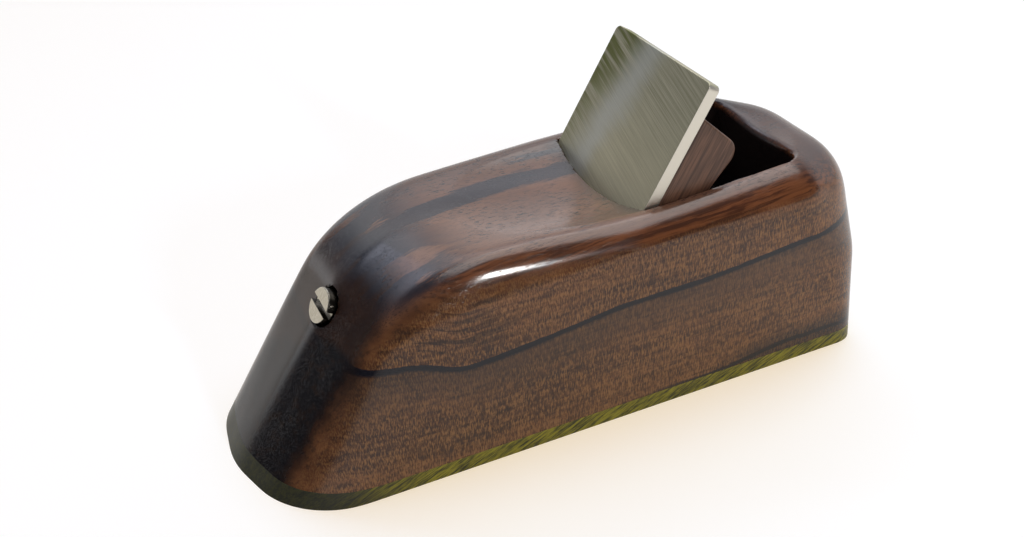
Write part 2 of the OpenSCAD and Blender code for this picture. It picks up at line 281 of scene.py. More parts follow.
def shape(p, form):
    """Signed distance to the finished stock at points p, given the outer form's values there.

    The hollow's arris is softer towards the nose, and the throat's is softer over the end wall.
    """
    x, y, z = p[..., 0], p[..., 1], p[..., 2]
    crest = HOLLOW_ARRIS + NOSE_GAIN * smooth_step(-x, 8, 42)
    body = cut(form, hollow(x, y, z), crest)
    qx = np.maximum(x - END_X + THROAT_CORNER, 0)
    qy = np.maximum(np.abs(y) - HALF_THROAT + THROAT_CORNER, 0)
    facing_end = qx / np.maximum(np.hypot(qx, qy), 0.01)
    body = cut(body, throat(x, y, z), THROAT_ARRIS + END_GAIN * facing_end ** 1.5)
    body = cut(body, screw_hole(x, y, z), HOLE_ARRIS)
    return np.maximum(body, -pin_seats(x, y, z))


def surface_nets(f, axes):
    """Quads round the zero surface of a grid of values."""
    inside = f < 0
    n = [len(a) - 1 for a in axes]
    corners = [(i, j, k) for i in (0, 1) for j in (0, 1) for k in (0, 1)]
    total = sum(inside[i:n[0] + i, j:n[1] + j, k:n[2] + k].astype(np.int8) for i, j, k in corners)
    active = (total > 0) & (total < 8)
    index = np.full(active.shape, -1)
    index[active] = np.arange(active.sum())
    cell = np.argwhere(active)
    place, count = np.zeros((len(cell), 3)), np.zeros(len(cell))
    for a in corners:
        for axis in range(3):
            if a[axis]:
                continue
            b = list(a)
            b[axis] = 1
            fa, fb = f[tuple((cell + a).T)], f[tuple((cell + b).T)]
            met = (fa < 0) != (fb < 0)
            step = np.zeros((met.sum(), 3))
            step[:, axis] = fa[met] / (fa[met] - fb[met])
            place[met] += np.array(a) + step
            count[met] += 1
    low = np.array([a[0] for a in axes])
    verts = low + (cell + place / count[:, None]) * FINE
    quads = []
    for axis in range(3):
        u, v = (axis + 1) % 3, (axis + 2) % 3
        first = [slice(None)] * 3
        second = [slice(None)] * 3
        first[axis], second[axis] = slice(0, -1), slice(1, None)
        here = inside[tuple(first)]
        edge = np.argwhere(here != inside[tuple(second)])
        edge = edge[(edge[:, u] > 0) & (edge[:, v] > 0) & (edge[:, u] < n[u]) & (edge[:, v] < n[v])]
        around = []
        for du, dv in ((-1, -1), (0, -1), (0, 0), (-1, 0)):
            c = edge.copy()
            c[:, u] += du
            c[:, v] += dv
            around.append(index[tuple(c.T)])
        quad = np.stack(around, 1)
        out = here[tuple(edge.T)]
        quad[~out] = quad[~out][:, ::-1]
        quads.append(quad)
    return verts, np.concatenate(quads)


def settle(verts, form, rounds=3):
    """Verts moved onto the true surface, and the surface's normals there."""
    small, flattest, farthest = 0.02, 0.25, 0.3
    for _ in range(rounds):
        value, slope = form.at(verts)
        here = shape(verts, value)
        grad = np.empty_like(verts)
        for axis in range(3):
            step = np.zeros(3)
            step[axis] = small
            ahead = shape(verts + step, value + slope[:, axis] * small)
            behind = shape(verts - step, value - slope[:, axis] * small)
            grad[:, axis] = (ahead - behind) / (2 * small)
        size = np.maximum((grad ** 2).sum(1), flattest)
        move = np.clip(here / size, -farthest, farthest)
        verts = verts - grad * move[:, None]
    return verts, grad / np.linalg.norm(grad, axis=1, keepdims=True)


# Meshes and pieces

def piece(name, mesh, body, nodes, material):
    """A mesh in millimetres becomes a piece that rides on a body and stands for CAD nodes."""
    mesh.transform(Matrix.Scale(MM, 4))
    mesh.materials.append(material)
    obj = bpy.data.objects.new(name, mesh)
    bpy.context.scene.collection.objects.link(obj)
    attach(obj, body)
    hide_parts(*nodes)
    return obj


def shaded_mesh(name, bm, layer):
    """The bmesh as a mesh whose corners take the stored normal where it suits their face."""
    mesh = bpy.data.meshes.new(name)
    normals = []
    set_length, likeness = 0.5, 0.8
    for f in bm.faces:
        for v in f.verts:
            stored = v[layer]
            good = stored.length > set_length and f.normal.dot(stored.normalized()) > likeness
            normals.append(stored.normalized() if good else f.normal.copy())
    bm.to_mesh(mesh)
    mesh.shade_smooth()
    mesh.normals_split_custom_set(normals)
    return mesh


def capped(bm, keep, normal):
    """A copy of the kept faces, closed over its open edges in the plane square to normal."""
    out = bm.copy()
    marks = [keep(f) for f in bm.faces]
    out.faces.ensure_lookup_table()
    drop = [out.faces[i] for i, k in enumerate(marks) if not k]
    bmesh.ops.delete(out, geom=drop, context="FACES")
    edges = [e for e in out.edges if e.is_boundary]
    level = {round(sum(a * b for a, b in zip(e.verts[0].co, normal)), 1) for e in edges}
    same_level = 0.06
    for at in sorted(level):
        loop = [e for e in edges
                if all(abs(v.co.dot(Vector(normal)) - at) < same_level for v in e.verts)]
        bmesh.ops.triangle_fill(out, edges=loop, use_beauty=True, normal=normal)
    bmesh.ops.recalc_face_normals(out, faces=out.faces)
    return out


def split_at(bm, point, normal):
    """New edges where a plane meets the mesh."""
    geom = bm.verts[:] + bm.edges[:] + bm.faces[:]
    bmesh.ops.bisect_plane(bm, geom=geom, dist=0.01, plane_co=point, plane_no=normal)


def stock_shell():
    """The whole stock and sole as one bmesh, with the surface's normals in a layer."""
    form = Form()
    spans = ((-79.8, 79.8), (-28.2, 28.2), (-1.8, 53.4))
    axes = [np.arange(a, b + FINE / 2, FINE) for a, b in spans]
    grid = np.stack(np.meshgrid(*axes, indexing="ij"), -1)
    verts, quads = surface_nets(shape(grid, form.on_axes(axes)), axes)
    verts, normals = settle(verts, form)
    # Points of the throat's side walls go exactly onto the planes where the cheeks are cut off
    close, square, inside, below = 0.08, 0.9, 0.3, HEIGHT - 1
    wall = (np.abs(np.abs(verts[:, 1]) - HALF_THROAT) < close) & (np.abs(normals[:, 1]) > square)
    wall &= (verts[:, 2] < below) & (throat(*verts.T) < inside)
    verts[wall, 1] = np.sign(verts[wall, 1]) * HALF_THROAT
    bm = bmesh.new()
    layer = bm.verts.layers.float_vector.new("surface")
    made = []
    for v, n in zip(verts.tolist(), normals.tolist()):
        vert = bm.verts.new(v)
        vert[layer] = n
        made.append(vert)
    for q in quads.tolist():
        bm.faces.new([made[i] for i in q])
    bm.normal_update()
    return bm


def build_stock(wood, green):
    """The shell parted into the sole, the two blocks and the two cheeks."""
    shell = stock_shell()
    split_at(shell, (0, 0, 0), (0, 0, 1))
    split_at(shell, (0, 0, SOLE_T), (0, 0, 1))
    sole = capped(shell, lambda f: 0 < f.calc_center_median().z < SOLE_T, (0, 0, 1))
    upper = capped(shell, lambda f: f.calc_center_median().z >= SOLE_T, (0, 0, 1))
    for side in (-1, 1):
        split_at(upper, (0, side * HALF_THROAT, 0), ACROSS)

    def place(f):
        """Which piece a face of the upper part belongs to."""
        c = f.calc_center_median()
        if abs(c.y) > HALF_THROAT - 0.004:
            return "near" if c.y < 0 else "far"
        n = (c.x - MOUTH_X) * math.sin(PITCH) - c.z * math.cos(PITCH)
        return "bed" if n < IRON_T / 2 else "end"

    rows = [("sole_slab", sole, "sole", "sole_wood", green)]
    for name, where, node in (("nose_block", "bed", "bed_block"),
                              ("end_block", "end", "throat_block"),
                              ("cheek_near", "near", "near_cheek"),
                              ("cheek_far", "far", "far_cheek")):
        part = capped(upper, lambda f, where=where: place(f) == where, ACROSS)
        rows.append((name, part, node, "stock_wood", wood))
    for name, bm, node, slot, material in rows:
        layer = bm.verts.layers.float_vector["surface"]
        piece(name, shaded_mesh(name, bm, layer), "stock", [node], material)
        bm.free()
    shell.free()
    upper.free()


def on_bed(s, y, n):
    """A point of the iron's frame in the row frame."""
    return (MOUTH_X + s * math.cos(PITCH) + n * math.sin(PITCH), y,
            s * math.sin(PITCH) - n * math.cos(PITCH))


def arc(cx, cy, r, a, b, count):
    """Points of an arc from a to b degrees."""
    turns = [math.radians(a + (b - a) * i / count) for i in range(count + 1)]
    return [(cx + r * math.cos(t), cy + r * math.sin(t)) for t in turns]


def prism(outline, low, high, place, edge):
    """An outline given depth, with every arris softened."""
    bm = bmesh.new()
    bottom = [bm.verts.new(place(*p, low)) for p in outline]
    top = [bm.verts.new(place(*p, high)) for p in outline]
    bm.faces.new(bottom)
    bm.faces.new(top[::-1])
    for i in range(len(outline)):
        j = (i + 1) % len(outline)
        bm.faces.new((bottom[j], bottom[i], top[i], top[j]))
    bmesh.ops.recalc_face_normals(bm, faces=bm.faces)
    sharp_angle = math.radians(25)
    sharp = [e for e in bm.edges if e.calc_face_angle(0) > sharp_angle]
    bmesh.ops.bevel(bm, geom=sharp, offset=edge, segments=3, profile=0.5, affect="EDGES",
                    clamp_overlap=True)
    return bm


def smooth_mesh(name, bm, angle=35, axis=(0, 0, 0)):
    """The bmesh shaded smooth, with its large faces and those square to the axis left flat."""
    mesh = bpy.data.meshes.new(name)
    bmesh.ops.recalc_face_normals(bm, faces=bm.faces)
    bm.to_mesh(mesh)
    bm.free()
    mesh.shade_smooth()
    mesh.set_sharp_from_angle(angle=math.radians(angle))
    large, square = 40, 0.9995
    for face in mesh.polygons:
        if face.area > large or abs(face.normal.dot(Vector(axis))) > square:
            face.use_smooth = False
    return mesh


def build_iron(material):
    """A flat iron with two eased top corners and a bevelled cutting edge."""
    top, half, r, start = EDGE_S + IRON_LEN, IRON_W / 2, 1.4, EDGE_S + 0.05
    outline = [(EDGE_S, -half), (EDGE_S, half)]
    outline += arc(top - r, half - r, r, 90, 0, 6) + arc(top - r, -half + r, r, 0, -90, 6)
    bm = prism(outline, 0, IRON_T, on_bed, 0.12)
    bevel_from = Vector(on_bed(start, 0, IRON_T))
    along_bevel = Vector(on_bed(start + IRON_T, 0, 0)) - bevel_from
    normal = along_bevel.cross(Vector(ACROSS)).normalized()
    if normal.z > 0:
        normal = -normal
    geom = bm.verts[:] + bm.edges[:] + bm.faces[:]
    made = bmesh.ops.bisect_plane(bm, geom=geom, dist=1e-4, plane_co=bevel_from, plane_no=normal,
                                  clear_outer=True)
    rim = [e for e in made["geom_cut"] if isinstance(e, bmesh.types.BMEdge)]
    bmesh.ops.contextual_create(bm, geom=rim)
    piece("blade", smooth_mesh("blade", bm), "plane_iron", ["iron"], material)


def build_wedge(material):
    """A tapered wedge with a round upper back corner."""
    back = (math.cos(WEDGE_TAPER), math.sin(WEDGE_TAPER))
    face = IRON_T + SLIDE_GAP
    span = (WEDGE_TOP - WEDGE_LOW) * back[0] - WEDGE_TIP * back[1]
    root = (WEDGE_LOW, face + WEDGE_TIP)
    corner = (root[0] + span * back[0], root[1] + span * back[1])
    r = WEDGE_CORNER
    cx = corner[0] - r * back[0] + r * back[1]
    cy = corner[1] - r * back[1] - r * back[0]
    turn = math.degrees(WEDGE_TAPER)
    outline = [(WEDGE_LOW, face), root] + arc(cx, cy, r, 90 + turn, turn, 14)
    outline += [(WEDGE_TOP, face)]
    half = WEDGE_W / 2
    bm = prism(outline, -half, half, lambda s, n, y: on_bed(s, y, n), 0.5)
    piece("wedge_block", smooth_mesh("wedge_block", bm), "plane_wedge", ["wedge"],
          material)


def lathe(profile, origin, axis, side, count=96):
    """A closed profile of (station, radius) turned about an axis."""
    axis, side = Vector(axis).normalized(), Vector(side).normalized()
    other = axis.cross(side)
    bm = bmesh.new()
    rings = []
    for t, r in profile:
        if r < 1e-6:
            rings.append([bm.verts.new(Vector(origin) + axis * t)] * count)
            continue
        turns = [2 * math.pi * i / count for i in range(count)]
        rings.append([bm.verts.new(Vector(origin) + axis * t
                                   + (side * math.cos(a) + other * math.sin(a)) * r)
                      for a in turns])
    for a, b in zip(rings, rings[1:]):
        for i in range(count):
            j = (i + 1) % count
            quad = list(dict.fromkeys((a[i], a[j], b[j], b[i])))
            if len(quad) > 2:
                bm.faces.new(quad)
    bmesh.ops.remove_doubles(bm, verts=bm.verts, dist=1e-5)
    return bm


def eased(profile, r=0.15, steps=3):
    """The profile with its inner corners rounded."""
    out = [profile[0]]
    for before, here, after in zip(profile, profile[1:], profile[2:]):
        a = Vector(before) - Vector(here)
        b = Vector(after) - Vector(here)
        room = min(r, a.length / 3, b.length / 3)
        p, q = Vector(here) + a.normalized() * room, Vector(here) + b.normalized() * room
        for i in range(steps + 1):
            t = i / steps
            mid = p * (1 - t) ** 2 + Vector(here) * 2 * t * (1 - t) + q * t ** 2
            out.append(tuple(mid))
    return out + [profile[-1]]


def build_screw(steel):
    """A cheese-head screw with a driver slot and a fine thread."""
    head_r, head_h, shank_r, tip = 4.05, 3.5, 2.5, 51.0
    neck_r, crest_r, root_r, tip_r = shank_r - 0.25, shank_r - 0.02, shank_r - 0.4, shank_r - 0.6
    slot_w, slot_depth, slot_len, slot_turn = 1.65, 1.5, 20, math.radians(6)
    pitch = 0.8
    t = BORE_END + 0.6
    profile = [(0, 0), (0, head_r), (head_h, head_r), (head_h, neck_r), (t, neck_r)]
    while t < tip - pitch:
        profile += [(t + pitch * 0.5, crest_r), (t + pitch, root_r)]
        t += pitch
    profile += [(tip, tip_r), (tip, 0)]
    head = lathe(eased(profile[:4], 0.28, 4) + profile[4:], SCREW_AT, SCREW_AXIS, ACROSS)
    mesh = smooth_mesh("screw_body", head, 30)
    turned = bpy.data.objects.new("screw_tool", mesh)
    bpy.context.scene.collection.objects.link(turned)
    inwards, side = Vector(SCREW_AXIS), Vector(ACROSS)
    turn = Matrix.Rotation(slot_turn, 4, inwards)
    up = inwards.cross(side)
    bm = bmesh.new()
    bmesh.ops.create_cube(bm, size=1)
    for v in bm.verts:
        x, y, z = v.co
        v.co = turn @ (side * y * slot_len + up * z * slot_w + inwards * (x * 2 * slot_depth))
        v.co += Vector(SCREW_AT)
    slot = bpy.data.meshes.new("slot_tool")
    bm.to_mesh(slot)
    bm.free()
    cutter = bpy.data.objects.new("slot_tool", slot)
    bpy.context.scene.collection.objects.link(cutter)
    boolean = turned.modifiers.new("slot", "BOOLEAN")
    boolean.object = cutter
    boolean.operation = "DIFFERENCE"
    boolean.solver = "EXACT"
    graph = bpy.context.evaluated_depsgraph_get()
    done = bpy.data.meshes.new_from_object(turned.evaluated_get(graph))
    bpy.data.objects.remove(turned)
    bpy.data.objects.remove(cutter)
    bm = bmesh.new()
    bm.from_mesh(done)
    sharp, shortest, near_face = math.radians(50), 0.02, 2
    edge = [e for e in bm.edges
            if e.calc_face_angle(0) > sharp and e.calc_length() > shortest
            and ((e.verts[0].co + e.verts[1].co) / 2 - Vector(SCREW_AT)).dot(inwards) < near_face]
    bmesh.ops.bevel(bm, geom=edge, offset=0.07, segments=2, profile=0.5, affect="EDGES",
                    clamp_overlap=True)
    mesh = smooth_mesh("slotted_screw", bm, 40, SCREW_AXIS)
    piece("slotted_screw", mesh, "screw", ["lock_screw"], steel)


def build_turned(brass, pin_wood):
    """The hidden turned pieces: the bush, the pad and the cross pin."""
    running_r, bush_r, pad_r, cup, pad_len = 2.55, 4.0, 3.25, 1.5, 4
    bush = [(BORE_END, running_r), (BORE_END, bush_r), (BUSH_END, bush_r), (BUSH_END, running_r),
            (BORE_END, running_r)]
    bm = lathe(eased(bush), SCREW_AT, SCREW_AXIS, ACROSS)
    piece("bush_sleeve", smooth_mesh("bush_sleeve", bm), "stock", ["screw_bush"], brass)
    pad = [(PAD_START + cup, 0), (PAD_START + cup, running_r), (PAD_START, running_r),
           (PAD_START, pad_r), (PAD_START + pad_len, pad_r), (PAD_START + pad_len, 0)]
    bm = lathe(eased(pad), SCREW_AT, SCREW_AXIS, ACROSS)
    piece("pad_disc", smooth_mesh("pad_disc", bm), "pad", ["pressure_pad"], brass)
    pin = [(-PIN_REACH, 0), (-PIN_REACH, PIN_R), (PIN_REACH, PIN_R), (PIN_REACH, 0)]
    bm = lathe(eased(pin, 0.4), (PIN_X, 0, PIN_Z), ACROSS, (1, 0, 0))
    piece("pin_rod", smooth_mesh("pin_rod", bm), "stock", ["cross_pin"], pin_wood)


# Materials

class Nodes:
    """A short way to write a node tree."""

    def __init__(self, tree):
        self.tree = tree
        tree.nodes.clear()

    def add(self, kind, inputs=None, **settings):
        node = self.tree.nodes.new("ShaderNode" + kind)
        for key, value in settings.items():
            setattr(node, key, value)
        for key, value in (inputs or {}).items():
            self.put(node.inputs[key], value)
        return node

    def put(self, socket, value):
        """A link or a plain value for a socket."""
        if isinstance(value, bpy.types.NodeSocket):
            self.tree.links.new(value, socket)
        elif isinstance(value, bpy.types.Node):
            self.tree.links.new(value.outputs[0], socket)
        else:
            socket.default_value = value

    def math(self, op, a, b=0.0, c=0.0):
        return self.add("Math", {0: a, 1: b, 2: c}, operation=op).outputs[0]

    def product(self, *factors):
        """The factors multiplied together."""
        out = factors[0]
        for factor in factors[1:]:
            out = self.math("MULTIPLY", out, factor)
        return out

    def ramp(self, value, slope, offset):
        """The value times the slope, plus the offset."""
        return self.math("MULTIPLY_ADD", value, slope, offset)

    def gap(self, a, b):
        """How far a is from b."""
        return self.math("ABSOLUTE", self.math("SUBTRACT", a, b))

    def step(self, value, low, high, to_low=0.0, to_high=1.0):
        """A smooth step: to_low at low, to_high at high."""
        node = self.add("MapRange", {"Value": value, "From Min": low, "From Max": high,
                                     "To Min": to_low, "To Max": to_high})
        node.interpolation_type = "SMOOTHSTEP"
        return node.outputs[0]

    def mix(self, factor, a, b):
        node = self.add("Mix", data_type="RGBA")
        self.put(node.inputs[0], factor)
        self.put(node.inputs[6], a)
        self.put(node.inputs[7], b)
        return node.outputs[2]

    def over(self, base, new, *amounts):
        """A new colour laid over the base, as far as the product of the amounts."""
        return self.mix(self.product(*amounts), base, new)

    def noise(self, vector, scale, detail=2.0, rough=0.5, warp=0.0):
        node = self.add("TexNoise", {"Vector": vector, "Scale": scale, "Detail": detail,
                                     "Roughness": rough, "Distortion": warp})
        return node.outputs[0]

    def point(self, x, y, z=0.0):
        return self.add("CombineXYZ", {0: x, 1: y, 2: z})

    def parts(self, vector):
        return self.add("SeparateXYZ", {0: vector}).outputs

    def scaled(self, vector, scale):
        return self.add("VectorMath", {0: vector, 1: scale}, operation="MULTIPLY").outputs[0]

    def dot(self, vector, way):
        node = self.add("VectorMath", {0: vector, 1: way}, operation="DOT_PRODUCT")
        return node.outputs["Value"]


def colour(r, g, b):
    """An sRGB colour, 0 to 255, as linear."""
    def one(c):
        c /= 255
        return c / 12.92 if c <= 0.04045 else ((c + 0.055) / 1.055) ** 2.4
    return (one(r), one(g), one(b), 1.0)


def new_material(name):
    """A material, its nodes, its shader and a place in millimetres to draw from."""
    material = bpy.data.materials.new(name)
    material.use_nodes = True
    nodes = Nodes(material.node_tree)
    out = nodes.add("OutputMaterial")
    bsdf = nodes.add("BsdfPrincipled")
    nodes.tree.links.new(bsdf.outputs[0], out.inputs[0])
    at = nodes.add("TexCoord").outputs["Object"]
    return material, nodes, bsdf, nodes.scaled(at, (1000, 1000, 1000))


def finish(n, bsdf, base, rough, height, strength, distance):
    """Colour, roughness and a shallow bump put on the shader."""
    n.put(bsdf.inputs["Base Color"], base)
    n.put(bsdf.inputs["Roughness"], rough)
    bump = n.add("Bump", {"Strength": strength, "Distance": distance, "Height": height})
    n.put(bsdf.inputs["Normal"], bump)


class Figure:
    """What the stock's figure is drawn from: places, facings and growth lines."""

    def __init__(self, n, at):
        self.at = at
        self.x, self.y, self.z = n.parts(at)
        self.level = n.parts(n.add("TexCoord").outputs["Normal"])[2]
        self.upward = n.step(self.level, 0.45, 0.85)
        self.sideways = n.step(self.level, 0.55, 0.2)
        # The growth lines run with the vein, and under is the depth below it
        self.wave = n.noise(n.point(n.product(self.x, 0.07), 3.0), 1.0, 4, 0.6)
        vein = n.ramp(self.x, 0.085, n.ramp(self.wave, 1.8, 28.8))
        for near, far, start, end in ((-31, -47, 0.0, 4.0), (-26, 4, 0.7, 1.6), (6, 26, 0.0, -1.4)):
            vein = n.math("ADD", vein, n.step(self.x, near, far, start, end))
        self.under = n.math("SUBTRACT", vein, self.z)
        lines = n.point(n.product(self.x, 0.05), n.product(self.y, 0.9), n.product(self.under, 0.9))
        self.streak = n.noise(lines, 1.0, 3, 0.65, 0.2)
        # Short upright flecks in rows, and dashes of pores in patches
        fleck = n.noise(n.scaled(at, (5.0, 3.0, 0.85)), 1.0, 2, 0.55)
        row = n.noise(n.scaled(at, (0.12, 0.4, 1.5)), 1.0, 1, 0.5)
        self.flecks = n.ramp(row, 0.18, n.product(fleck, 0.82))
        patch = n.noise(n.scaled(at, (0.04, 0.1, 0.1)), 1.0, 2, 0.5)
        dash = n.noise(n.scaled(at, (0.5, 3.4, 3.4)), 1.0, 2, 0.6)
        self.pores = n.product(n.step(dash, 0.56, 0.61), n.step(patch, 0.4, 0.56, 0.25, 1.0))


def side_wood(n, f):
    """Broad tone and narrow streaks along the growth lines, with upright flecks on the sides."""
    grain = n.point(n.product(f.x, 0.014), n.product(f.y, 0.1), n.product(f.under, 0.16))
    tone = n.noise(grain, 1.0, 4, 0.6, 0.3)
    base = n.mix(n.step(tone, 0.32, 0.68), colour(90, 56, 35), colour(130, 85, 53))
    base = n.over(base, colour(50, 34, 28), n.step(f.streak, 0.52, 0.36, 0.0, 0.5))
    base = n.over(base, colour(168, 120, 72), n.step(f.flecks, 0.49, 0.6, 0.0, 0.75), f.sideways)
    return n.over(base, colour(40, 30, 26), n.step(f.flecks, 0.49, 0.4, 0.0, 0.65), f.sideways)


def top_wood(n, f, base):
    """A greyer top, darker towards its far edge, with dark pores."""
    base = n.over(base, colour(112, 82, 70), f.upward, 0.55)
    base = n.over(base, colour(58, 42, 36), f.upward, n.step(f.y, 9, 18), 0.55)
    return n.over(base, colour(28, 22, 24), f.pores, n.product(f.upward, 0.9))


def crest_grain_and_reflection_band(n, f, base):
    """Dark streaks that fan out above the vein near the nose, and a painted dark reflection at the
    crest.
    """
    fan = n.noise(n.point(n.product(f.x, 0.05), 7.0, n.product(f.under, 0.55)), 1.0, 3, 0.6, 0.4)
    base = n.over(base, colour(38, 26, 22), n.step(fan, 0.5, 0.58), n.step(f.x, -8, -34),
                  n.step(f.under, -1.5, -4), f.sideways, 0.7)
    # Painted dark reflection: a deep red band over the crest's rounding, where it turns down to the
    # side
    reflection_band_red = n.mix(n.step(f.streak, 0.4, 0.62), colour(68, 36, 21), colour(124, 72, 42))
    return n.over(base, reflection_band_red, n.step(f.z, 42.5, 46.8), n.step(f.level, 0.92, 0.75), 0.78)


def veins(n, f, base):
    """The thin blue-black vein, greyer wood below it, and smoke and a second vein at the heel."""
    base = n.over(base, colour(62, 50, 44), n.step(f.under, 0, 0.6), n.step(f.under, 15, 2), 0.55)
    past = n.math("SUBTRACT", f.under, n.ramp(f.wave, 1.6, 0.3))
    base = n.over(base, colour(10, 16, 30), n.step(f.under, -0.1, 0.1), n.step(past, 0.8, -0.1),
                  0.96)
    lift = n.math("ADD", n.step(f.x, 24, 58, 4.2, 6.8), n.product(f.wave, 2.0))
    above = n.math("SUBTRACT", f.z, lift)
    base = n.over(base, colour(38, 36, 38), n.step(above, 4.0, -1.0), n.step(f.x, 30, 44), 0.6)
    second = n.step(n.gap(above, -1.6), 0.9, 0.3)
    return n.over(base, colour(20, 22, 30), second, n.step(f.x, 6, 22), 0.85)


def nose_wood(n, f, base):
    """The nose: very dark brown round the screw, blue-black below it."""
    edge = n.noise(n.scaled(f.at, (0.12, 0.12, 0.12)), 1.0, 4, 0.6)
    inward = n.math("MAXIMUM", n.math("SUBTRACT", n.math("ABSOLUTE", f.y), 12.0), 0.0)
    front = n.ramp(edge, 5.0, n.ramp(f.z, -0.66, n.ramp(inward, 0.6, f.x)))
    base = n.over(base, colour(27, 16, 13), n.step(front, -65.5, -70.5), 0.88)
    lid = n.math("MINIMUM", n.ramp(f.y, -0.45, n.ramp(edge, 9.0, 22.0)), 30.5)
    below = n.step(n.math("SUBTRACT", lid, f.z), -0.8, 1.2)
    mottle = n.noise(n.scaled(f.at, (0.25, 0.35, 0.5)), 1.0, 4, 0.65)
    black = n.mix(n.step(mottle, 0.48, 0.66), colour(12, 12, 17), colour(34, 22, 16))
    return n.over(base, black, n.step(front, -68.5, -71.5), below, 0.93)


def top_bands(n, f, base):
    """Dark blue-grey bands along the far half of the top, spreading at the nose."""
    drift = n.noise(n.scaled(f.at, (0.05, 0.3, 0.05)), 1.0, 5, 0.65)
    middle = n.math("ADD", n.step(f.x, 0, -38, 9.6, 3.6), n.ramp(drift, 5.0, -2.5))
    band = n.step(n.gap(f.y, middle), 3.1, 2.2)
    dash = n.product(n.step(n.gap(f.y, 16.4), 1.3, 0.5), n.step(f.x, -3, 1),
                     n.step(drift, 0.44, 0.52))
    smear = n.noise(n.scaled(f.at, (0.05, 0.22, 0.05)), 1.0, 4, 0.6)
    spread = n.product(n.step(smear, 0.42, 0.5), n.step(f.x, -22, -38))
    blue = n.math("MAXIMUM", n.math("MAXIMUM", band, dash), spread)
    return n.over(base, colour(27, 33, 44), blue, n.step(f.level, 0.66, 0.86),
                  n.step(f.x, 40, 34), 0.87)


def heel_wood_and_throat_shade(n, f, base):
    """The heel's top, darker and bluer towards the far side, and painted shade inside the throat.
    """
    heel = n.product(n.step(f.x, 50, 60), f.upward)
    base = n.over(base, colour(46, 40, 44), heel, 0.6)
    base = n.over(base, colour(20, 24, 33), heel, n.step(f.y, 0, 20, 0.0, 0.8))
    # Painted shade: the inside of the throat, below the rim and between the cheeks, darkened
    return n.over(base, colour(40, 35, 36), n.step(f.z, 51.2, 49.0), n.step(f.x, 8, 16),
                  n.step(n.math("ABSOLUTE", f.y), 19.6, 19.3), n.step(f.x, 61.5, 59.5), 0.96)


def stock_wood():
    """Dark reddish brown wood: fine upright flecks on its sides, dark veins and a black nose."""
    material, n, bsdf, at = new_material("dark_wood")
    f = Figure(n, at)
    base = side_wood(n, f)
    for layer in (top_wood, crest_grain_and_reflection_band, veins, nose_wood, top_bands, heel_wood_and_throat_shade):
        base = layer(n, f, base)
    bsdf.inputs["IOR"].default_value = 1.5
    rough = n.ramp(f.upward, 0.07, n.ramp(f.flecks, 0.08, 0.075))
    speck = n.noise(n.scaled(at, (1.6, 3.2, 1.6)), 1.0, 2, 0.6)
    height = n.math("ADD", n.product(f.pores, -1.0), n.product(f.flecks, 0.3))
    height = n.math("ADD", height, n.step(speck, 0.62, 0.69, 0.0, -0.8))
    finish(n, bsdf, base, rough, height, 0.25, 0.00005)
    return material


def plain_wood(name, low, high, stretch, fineness, lean=0.0, nose=None):
    """Straight-grained wood: stretch shapes its streaks, and nose is its colour near the nose."""
    material, n, bsdf, at = new_material(name)
    spin = n.add("VectorRotate", {"Vector": at, "Angle": lean}, rotation_type="Y_AXIS").outputs[0]
    streak = n.noise(n.scaled(spin, stretch), 1.0, 3, 0.6, 0.2)
    fine = n.noise(n.scaled(spin, tuple(v * fineness for v in stretch)), 1.0, 2, 0.6)
    both = n.ramp(fine, 0.5, n.product(streak, 0.5))
    base = n.mix(n.step(both, 0.38, 0.62), low, high)
    if nose:
        along_x = n.ramp(streak, 16.0, n.parts(at)[0])
        base = n.over(base, nose, n.step(along_x, -34, -56, 0.0, 0.92))
    finish(n, bsdf, base, n.ramp(both, 0.2, 0.25), both, 0.2, 0.00004)
    return material


def iron_steel():
    """Ground steel: brush lines slanting across an olive face, bright narrow sides, painted sheen.
    """
    material, n, bsdf, at = new_material("ground_steel")
    facing = n.parts(n.add("TexCoord").outputs["Normal"])
    y = n.parts(at)[1]
    # Along and over the brush lines, and up the iron
    stroke, over = n.dot(at, (0.147, 0.956, 0.255)), n.dot(at, (0.478, -0.294, 0.828))
    up = n.dot(at, (0.5, 0, 0.866))
    brushed = n.point(n.product(stroke, 0.04), n.product(over, 4.5))
    lines = n.noise(brushed, 1.0, 4, 0.75)
    broad = n.noise(n.scaled(brushed, (1.0, 0.16, 1.0)), 1.0, 3, 0.5)
    cloud = n.noise(n.scaled(at, (0.06, 0.08, 0.06)), 1.0, 2, 0.5)
    base = n.mix(n.step(lines, 0.3, 0.7), colour(164, 160, 132), colour(210, 206, 180))
    # Painted sheen: paler low down on the near half. Olive tarnish at the far upper corner.
    base = n.over(base, colour(255, 246, 212), n.step(up, 76, 50), n.step(y, 16, 0), 0.35)
    corner = n.math("ADD", n.product(up, 0.6), y)
    base = n.over(base, colour(112, 118, 58), n.step(corner, 44, 62), n.step(broad, 0.62, 0.4),
                  0.85)
    # Painted highlight: a bluish streak up the middle, standing in for the brushed steel's sheen
    path = n.ramp(broad, 5.0, n.math("ADD", n.ramp(up, 0.22, y), n.product(cloud, 6.0)))
    base = n.over(base, colour(228, 232, 232), n.step(n.gap(path, 26.1), 7.5, 0.0), 0.42)
    sides = n.step(n.math("ABSOLUTE", facing[1]), 0.6, 0.8)
    base = n.over(base, colour(236, 230, 216), sides)
    bsdf.inputs["Metallic"].default_value = 1.0
    finish(n, bsdf, base, n.ramp(lines, 0.2, 0.32), lines, 0.16, 0.00002)
    return material


